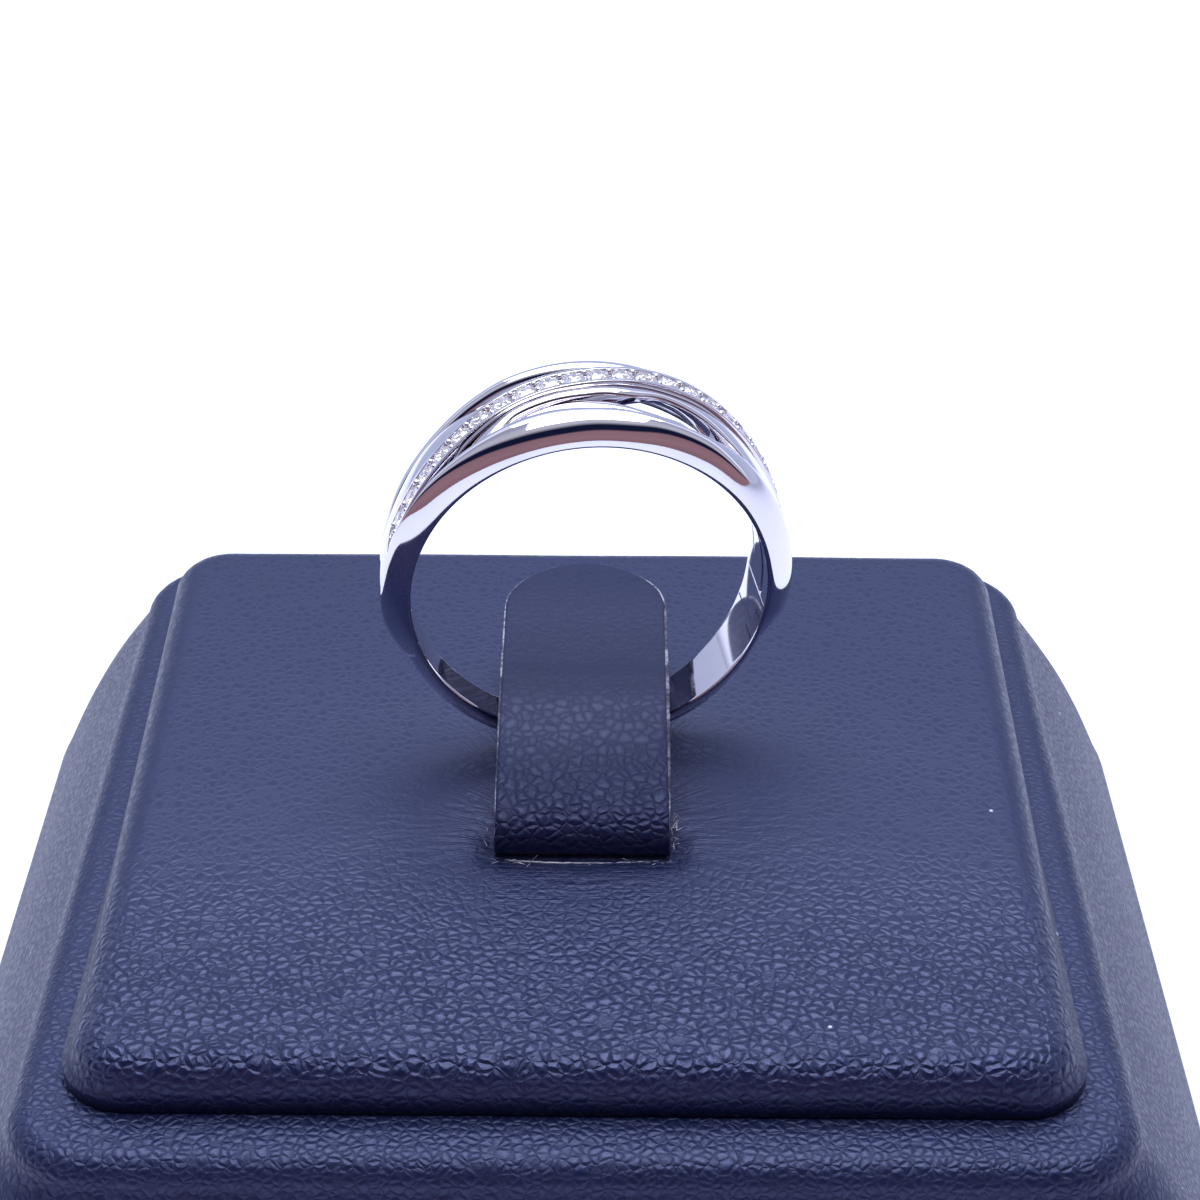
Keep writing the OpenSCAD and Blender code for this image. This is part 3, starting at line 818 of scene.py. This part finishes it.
def build_cushion():
    profile = soft_profile(CUSHION_W, CUSHION_D, CUSHION_R, BASE_H + CLEAR, STAND_H, CUSHION_EDGE, 10)
    shift = Vector((0, CUSHION_BACK, 0))
    return slab("cushion_padded", profile, 60, lambda p: cushion_shape(p + shift))


cushion = build_cushion()
dress(cushion, "leather", CUSHION_LEATHER)
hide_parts("stand_cushion")


def build_base():
    top_w, top_d = BASE_W - 2 * BASE_FLARE, BASE_D - 2 * BASE_FLARE
    hem = 0.4
    profile = [(BASE_W - 0.8, BASE_D - 0.8, FOOT_R - 0.4, 0), (BASE_W - 0.1, BASE_D - 0.1, FOOT_R, 0.12),
               (BASE_W, BASE_D, FOOT_R, hem)]
    slope = 16
    low, high = hem, BASE_H - BASE_EDGE
    for k in range(1, slope):
        s = k / slope
        full = 0.8 * math.sin(math.pi * s) + 0.3 * s
        profile.append((BASE_W + (top_w - BASE_W) * s + full, BASE_D + (top_d - BASE_D) * s + full,
                        FOOT_R + (BASE_R - FOOT_R) * s, low + (high - low) * s))
    profile += soft_profile(top_w + 0.3, top_d + 0.3, BASE_R, 0, BASE_H, BASE_EDGE, 8)[2:]

    def wrapped(p):
        out = Vector(p)
        if p.z > BASE_H - 0.01:
            out.z -= 0.02
        swell = 0.05 * noise.noise(Vector((p.x * 0.13, p.y * 0.13, p.z * 0.2)))
        return out * (1 + (swell - 0.05) / 30) if p.z > 1 else out

    return slab("base_wrapped", profile, 24, wrapped)


base = build_base()
dress(base, "leather", BASE_LEATHER)
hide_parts("stand_base")


# the clip
EDGE_X = (CLIP_W / 2 * math.cos(math.radians(RING_TURN))
          + SHANK_W / 2 * abs(math.sin(math.radians(RING_TURN))))
CLIP_UNDER = RING_Z - math.sqrt(FINGER_R ** 2 - EDGE_X ** 2) + CLEAR
CLIP_RISE = CLIP_UNDER + CLIP_T / 2 - STAND_H
CLOSER = 1.6
CLIP_LINE = [
    (0, -1, 0.02), (0.5, -0.992, 0.19), (1, -0.965, 0.32), (1.5, -0.92, 0.42), (2.2, -0.85, 0.50),
    (4, -0.68, 0.65), (6.4, -0.42, 0.82), (8.4, -0.2, 0.96), (10.2, 0, 1), (11.7, 0.15, 1),
    (14.2, 0.4, 1.04), (17.2, 0.7, 1.11), (20.2, 1, 1.13),
]


def clip_mid(u):
    s = curve(u, CLIP_LINE, 1)
    along = CLIP_LEAD - CLIP_T / 2 if s < 0 else CLIP_REACH
    return Vector((RING_Y + s * along, STAND_H + CLIP_RISE * curve(u, CLIP_LINE, 2)))


def build_clip():
    """Leather tongue with cut sides and a full round end, bent up out of the cushion."""
    length = CLIP_LINE[-1][0]
    stations = [(clip_mid(0) - Vector((0, 2.2 - 0.22 * k)), Vector((1, 0))) for k in range(10)]
    steps = 150
    for k in range(steps + 1):
        if k > steps * 0.5:
            u = length * (1 - (1 - k / steps) ** CLOSER)
        else:
            u = length * k / steps * (1 - 0.5 ** CLOSER) / 0.5
        v = clip_mid(min(length, u + 0.01)) - clip_mid(max(0, u - 0.01))
        v.normalize()
        stations.append((clip_mid(u), Vector((-v.y, v.x))))
    end_y, r = RING_Y + CLIP_REACH, CLIP_W / 2
    half_t, soft = CLIP_T / 2, 0.22
    points = []
    across = 16
    for at, up in stations:
        gap = end_y - r
        w = r if at.x < gap else math.sqrt(max(0.0, r * r - (at.x - gap) ** 2))
        w = max(w, 0.02)
        e = min(soft, w * 0.6)
        section = []
        for k in range(across + 1):
            section.append((-w + e + (2 * w - 2 * e) * k / across, half_t, 0))
        for k in range(1, 5):
            t = math.radians(90 * k / 4)
            section.append((w - e + e * math.sin(t), half_t - e + e * math.cos(t), 0))
        section.append((w, 0.0, 1))
        section.append((w, -half_t + e * 0.6, 1))
        section.append((w - e * 0.5, -half_t, 1))
        for k in range(across + 1):
            section.append((w - e - (2 * w - 2 * e) * k / across, -half_t, 0))
        section.append((-w + e * 0.5, -half_t, 1))
        section.append((-w, -half_t + e * 0.6, 1))
        section.append((-w, 0.0, 1))
        for k in range(4):
            t = math.radians(90 * (1 - k / 4))
            section.append((-w + e - e * math.sin(t), half_t - e + e * math.cos(t), 0))
        for x, t, _ in section:
            points.append(Vector((RING_X + x, at.x + up.x * t, at.y + up.y * t)) * MM)
    count = len(section)
    cut = [section[j][2] * section[(j + 1) % count][2] for j in range(count)]
    faces = side_faces(0, len(stations), count)
    faces.append(tuple(reversed(range(count))))
    last = (len(stations) - 1) * count
    faces.append(tuple(last + j for j in range(count)))
    indices = cut * (len(stations) - 1) + [0, 1]
    piece = mesh_piece("clip_leather_tongue", points, faces)
    piece.data.polygons.foreach_set("material_index", indices)
    return piece


clip = build_clip()
dress(clip, "clip_leather", CLIP_LEATHER, RAW_EDGE)
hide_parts("clip")


def tube(points_out, faces_out, path, radius, sides=6):
    """A thin tapering tube along a path of points, in metres."""
    k = len(points_out)
    n = len(path)
    for i, p in enumerate(path):
        ahead = path[min(n - 1, i + 1)] - path[max(0, i - 1)]
        side = ahead.cross(Vector((0, 0, 1)))
        if side.length < 1e-9:
            side = Vector((1, 0, 0))
        side.normalize()
        up = side.cross(ahead).normalized()
        size = radius * (1 - 0.8 * abs(2 * i / (n - 1) - 1) ** 3)
        for j in range(sides):
            t = 2 * math.pi * j / sides
            points_out.append(p + side * size * math.cos(t) + up * size * math.sin(t))
    faces_out += side_faces(k, n, sides)
    faces_out.append(tuple(k + j for j in reversed(range(sides))))
    faces_out.append(tuple(k + (n - 1) * sides + j for j in range(sides)))


def torn_slot_edge():
    """The torn pale lip in front of the clip, and loose fibres beside it."""
    points, faces = [], []
    lip = []
    for k in range(41):
        s = k / 20 - 1
        x = RING_X + s * (CLIP_W / 2 + 0.25)
        y = CLIP_FRONT + 0.1 - 0.32 * (1 - s * s) + 0.05 * noise.noise(Vector((x * 2.2, 0, 5)))
        z = STAND_H - 0.22 + 0.04 * noise.noise(Vector((x * 3.1, 2, 1)))
        lip.append(Vector((x, y, z)) * MM)
    tube(points, faces, lip, 0.045 * MM, 8)
    for _ in range(16):
        s = random.uniform(-1, 1)
        x = RING_X + s * CLIP_W / 2
        start = Vector((x, CLIP_FRONT - 0.1 - 0.25 * (1 - s * s), STAND_H - 0.2))
        way = Vector((random.uniform(-1, 1), random.uniform(-0.9, 0.1), random.uniform(0.05, 0.4)))
        way.normalize()
        bend = Vector((random.uniform(-1, 1), random.uniform(-1, 0), 0)) * 0.25
        size = random.uniform(0.25, 0.8)
        path = [(start + way * size * t + bend * t * t) * MM for t in (0, 0.25, 0.5, 0.75, 1)]
        tube(points, faces, path, 0.018 * MM, 5)
    for _ in range(34):
        side = 1 if random.random() < 0.75 else -1
        x = RING_X + side * (CLIP_W / 2 + random.uniform(0.0, 0.35))
        y = CLIP_FRONT + random.uniform(0.1, 4.2) ** 0.9
        height = 0.1 + 0.35 * max(0.0, 1 - (y - CLIP_FRONT) / 4) * random.random()
        start = Vector((x, y, STAND_H - 0.05 + height))
        way = Vector((side * random.uniform(0, 1), random.uniform(-1, 1), random.uniform(-0.2, 0.6)))
        way.normalize()
        bend = Vector((random.uniform(-1, 1), random.uniform(-1, 1), random.uniform(-0.5, 0))) * 0.2
        size = random.uniform(0.15, 0.6)
        path = [(start + way * size * t + bend * t * t) * MM for t in (0, 0.25, 0.5, 0.75, 1)]
        tube(points, faces, path, random.uniform(0.014, 0.03) * MM, 5)
    return points, faces


torn = joined("slot_torn_edge", [torn_slot_edge()])
dress(torn, "leather", FIBRE)


def clip_raw_edges():
    """Rough cut edges that stand a little proud along both sides of the clip and round its end."""
    points, faces = [], []
    end_y, r = RING_Y + CLIP_REACH, CLIP_W / 2
    for side, radius in ((-1, 0.06), (1, 0.10)):
        path = []
        for k in range(121):
            u = 0.6 + (CLIP_LINE[-1][0] - 0.7) * k / 120
            v = clip_mid(u + 0.01) - clip_mid(u - 0.01)
            v.normalize()
            at = clip_mid(u) + Vector((-v.y, v.x)) * (CLIP_T / 2 - 0.10)
            inset = at.x - (end_y - r)
            w = r if inset < 0 else math.sqrt(max(0.04, r * r - inset * inset))
            rough = 0.03 * noise.noise(Vector((at.x * 3, at.y * 3, side * 7)))
            path.append(Vector((RING_X + side * (w - 0.05 + rough), at.x, at.y)) * MM)
        tube(points, faces, path, radius * MM, 8)
    return points, faces


raw = joined("clip_cut_edges", [clip_raw_edges()])
dress(raw, "clip_leather", RAW_EDGE)

# floor, light and camera
floor_corners = [Vector((x, y, -0.0001)) for x, y in ((-4, -0.115), (4, -0.115), (4, 4), (-4, 4))]
floor_mesh = mesh_piece("floor", floor_corners, [(0, 1, 2, 3)], smooth=False)
paper, paper_tree, paper_shader = new_material("pale paper")
paper_where = paper_tree.nodes.new("ShaderNodeTexCoord").outputs["Object"]
paper_tooth = noise_node(paper_tree, paper_where, 900, 3)
paper_colour = ramp(paper_tree, paper_tooth.outputs["Fac"], [
    (0, (0.78, 0.82, 0.95)), (1, (0.80, 0.84, 0.97))])
link(paper_tree, paper_colour, paper_shader.inputs["Base Color"])
paper_shader.inputs["Roughness"].default_value = 0.9
paper_shader.inputs["Emission Color"].default_value = (0.90, 0.93, 1.0, 1)
paper_shader.inputs["Emission Strength"].default_value = 0.10
floor_mesh.data.materials.append(paper)

world = bpy.data.worlds.new("studio")
bpy.context.scene.world = world
world.use_nodes = True
wt = world.node_tree
background = wt.nodes["Background"]
direction = wt.nodes.new("ShaderNodeTexCoord").outputs["Generated"]
split = wt.nodes.new("ShaderNodeSeparateXYZ")
link(wt, direction, split.inputs[0])
turned = number_node(wt, "ARCTAN2", split.outputs[2], split.outputs[1])
share = number_node(wt, "MULTIPLY_ADD", turned, 1 / (2 * math.pi), 0.5)


def at(degrees):
    """Place on the ramp of a direction, from 0 at the back, over 90 overhead, to 180 at the front."""
    return (degrees + 180) / 360


link(wt, ramp(wt, share, [
    (at(-179), (0.38, 0.22, 0.26)), (at(-165), (0.30, 0.17, 0.20)), (at(-150), (0.42, 0.40, 0.50)),
    (at(0), (0.66, 0.73, 0.98)), (at(36), (0.52, 0.60, 0.90)),
    (at(46), (1.2, 1.25, 1.5)), (at(56), (1.2, 1.25, 1.45)),
    (at(66), (0.42, 0.45, 0.62)), (at(80), (0.46, 0.49, 0.66)),
    (at(98), (0.66, 0.68, 0.80)), (at(116), (0.66, 0.67, 0.78)),
    (at(129), (0.008, 0.012, 0.045)), (at(150), (0.008, 0.012, 0.045)), (at(156), (0.34, 0.19, 0.23)),
    (at(179.5), (0.38, 0.22, 0.26))]),
    background.inputs["Color"])
background.inputs["Strength"].default_value = 0.9
backdrop = wt.nodes.new("ShaderNodeBackground")
backdrop.inputs["Color"].default_value = (0.93, 0.95, 1.0, 1)
chosen = wt.nodes.new("ShaderNodeMixShader")
link(wt, wt.nodes.new("ShaderNodeLightPath").outputs["Is Camera Ray"], chosen.inputs[0])
link(wt, background.outputs[0], chosen.inputs[1])
link(wt, backdrop.outputs[0], chosen.inputs[2])
link(wt, chosen.outputs[0], wt.nodes["World Output"].inputs["Surface"])


def soft_light(name, place, aim, size, power, colour=(1, 1, 1)):
    light = bpy.data.lights.new(name, "AREA")
    light.shape = "RECTANGLE"
    light.size, light.size_y = size
    light.energy = power
    light.color = colour
    lamp = bpy.data.objects.new(name, light)
    lamp.location = place
    lamp.rotation_euler = (Vector(aim) - Vector(place)).to_track_quat("-Z", "Y").to_euler()
    lamp.visible_camera = False
    bpy.context.scene.collection.objects.link(lamp)


soft_light("softbox_overhead", (0.0, 0.02, 0.45), (0, 0, 0), (0.35, 0.25), 1.3)
soft_light("window_behind", (0.0, 0.25, 0.44), (0, -0.015, 0.014), (0.5, 0.14), 1.25, (0.88, 0.92, 1.0))

PITCH = 31.81
YAW = -0.02
ROLL = -0.42
LENS = 79.18
CAMERA_AT = (0.991, -105.49, 89.604)


def photo_camera():
    cp, sp = math.cos(math.radians(PITCH)), math.sin(math.radians(PITCH))
    cy, sy = math.cos(math.radians(YAW)), math.sin(math.radians(YAW))
    ahead = Vector((sy * cp, cy * cp, -sp))
    right = Vector((cy, -sy, 0))
    down = ahead.cross(right)
    cr, sr = math.cos(math.radians(ROLL)), math.sin(math.radians(ROLL))
    right, down = right * cr + down * sr, down * cr - right * sr
    data = bpy.data.cameras.new("photo_camera")
    data.sensor_width = 36
    data.lens = LENS
    data.clip_start = 0.005
    data.clip_end = 10
    camera = bpy.data.objects.new("photo_camera", data)
    turn = Matrix((right, -down, -ahead)).transposed().to_4x4()
    camera.matrix_world = Matrix.Translation(Vector(CAMERA_AT) * MM) @ turn
    bpy.context.scene.collection.objects.link(camera)
    bpy.context.scene.camera = camera


photo_camera()
bpy.context.scene.view_settings.view_transform = "Standard"
